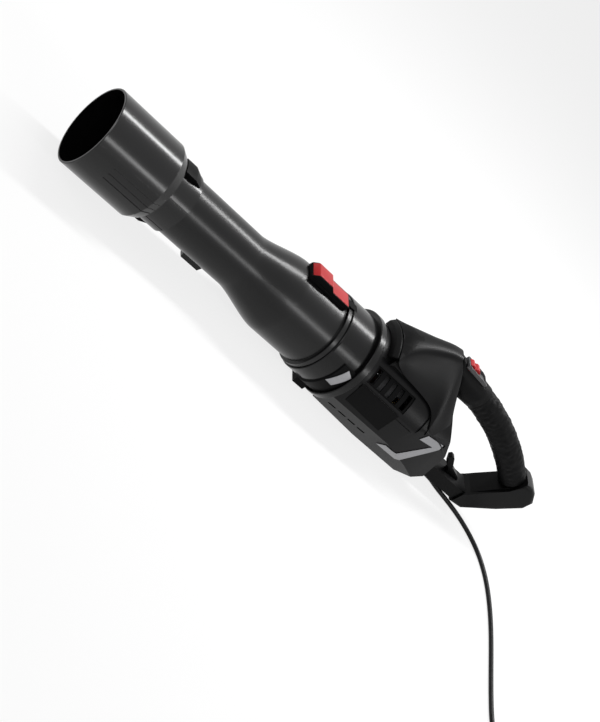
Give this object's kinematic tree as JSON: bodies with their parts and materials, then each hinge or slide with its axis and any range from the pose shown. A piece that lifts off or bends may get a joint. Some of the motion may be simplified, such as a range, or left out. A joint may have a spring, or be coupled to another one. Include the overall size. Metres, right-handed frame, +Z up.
{
  "type": "leaf blower",
  "caption": "Hand-held corded leaf blower: wide nozzle, straight flared tube, axial fan and motor casing, loop handle with sliding power control, cord hook and mains lead.",
  "frame": {"origin": "centre of the bounding box's bottom face without the mains lead, on the surface that the belly rests on", "axes": "+X from the nozzle's mouth to the handle, +Z up, Y = 0 is the plane of symmetry"},
  "size_m": [0.8707, 0.5522, 0.1868],
  "materials": {
    "nozzle_gloss": "glossy black, ribbed grip pads",
    "tube_satin": "satin dark grey, fine moulded grain",
    "soft_grey": "soft overmould, dotted",
    "latch_red": "glossy red",
    "black_plastic": "matt black",
    "barrel_gloss": "glossy black",
    "casing_grey": "matt dark grey, spark texture",
    "trim_silver": "metallic silver-grey",
    "label_black": "glossy bare plate",
    "spring_steel": "drawn wire",
    "steel": "ground",
    "screw_steel": "black zinc",
    "fan_nylon": "glass-filled nylon",
    "lamination": "laminated sheet",
    "copper": "enamelled copper",
    "brass": "stamped",
    "carbon": "pressed carbon",
    "rubber": "moulded",
    "board_green": "solder mask",
    "cream_plastic": "moulded",
    "capacitor_yellow": "potted case",
    "lead_black": "satin rubber sheath"
  },
  "bodies": {
    "blower": {"brush_holders": "brass", "carbon_brushes": "carbon", "clamp_ring": "barrel_gloss", "control_board": "board_green", "cord_clamp": "black_plastic", "cord_guard": "lead_black", "cord_hook": "black_plastic", "fan_housing": "barrel_gloss", "field_coils": "copper", "front_bearing": "steel", "front_foot": "black_plastic", "front_trim_left": "trim_silver", "front_trim_right": "trim_silver", "grip_sleeve": "soft_grey", "guide_vanes": "fan_nylon", "handle_shell_left": "casing_grey", "handle_shell_right": "casing_grey", "hood_rim": "black_plastic", "housing_left": "casing_grey", "housing_right": "casing_grey", "housing_screws": "screw_steel", "internal_leads": "lead_black", "label_plate_left": "label_black", "label_plate_right": "label_black", "mains_lead": "lead_black", "motor_bumper": "rubber", "motor_end_bracket": "fan_nylon", "plug_body": "lead_black", "plug_pins": "brass", "rear_bearing": "steel", "rear_bumper": "rubber", "rear_trim_left": "trim_silver", "rear_trim_right": "trim_silver", "stator_screws": "screw_steel", "stator_stack": "lamination", "suppressor_capacitor": "capacitor_yellow", "switch_bezel": "black_plastic", "switch_module": "cream_plastic", "terminal_block": "cream_plastic", "vent_grille_left": "black_plastic", "vent_grille_right": "black_plastic"},
    "tube": {"blow_tube": "tube_satin", "latch_base": "black_plastic", "latch_spring": "spring_steel"},
    "nozzle": {"nozzle": "nozzle_gloss", "nozzle_tabs": "soft_grey"},
    "latch": {"latch_button": "latch_red"},
    "rotor": {"motor_shaft": "steel", "fan_wheel": "fan_nylon", "fan_nut": "steel", "armature_stack": "lamination", "armature_windings": "copper", "commutator": "brass"},
    "power_slide": {"power_slider": "latch_red", "slider_carrier": "cream_plastic"}
  },
  "joints": [
    {"name": "rotor_spin", "type": "hinge", "parent": "blower", "child": "rotor", "pos_m": [0.09117, 0, 0.065], "axis": [1, 0, 0], "continuous": true},
    {"name": "tube_pull", "type": "slide", "parent": "blower", "child": "tube", "axis": [-1, 0, 0], "range_m": [0, 0.045]},
    {"name": "nozzle_pull", "type": "slide", "parent": "tube", "child": "nozzle", "axis": [-1, 0, 0], "range_m": [0, 0.06]},
    {"name": "latch_slide", "type": "slide", "parent": "tube", "child": "latch", "axis": [-1, 0, 0], "range_m": [0, 0.006], "stiffness_N_per_m": 400, "springref_m": -0.003, "deforming": ["latch_spring"]},
    {"name": "switch_slide", "type": "slide", "parent": "blower", "child": "power_slide", "axis": [0.9969, 0, -0.0785], "range_m": [0, 0.01]}
  ]
}
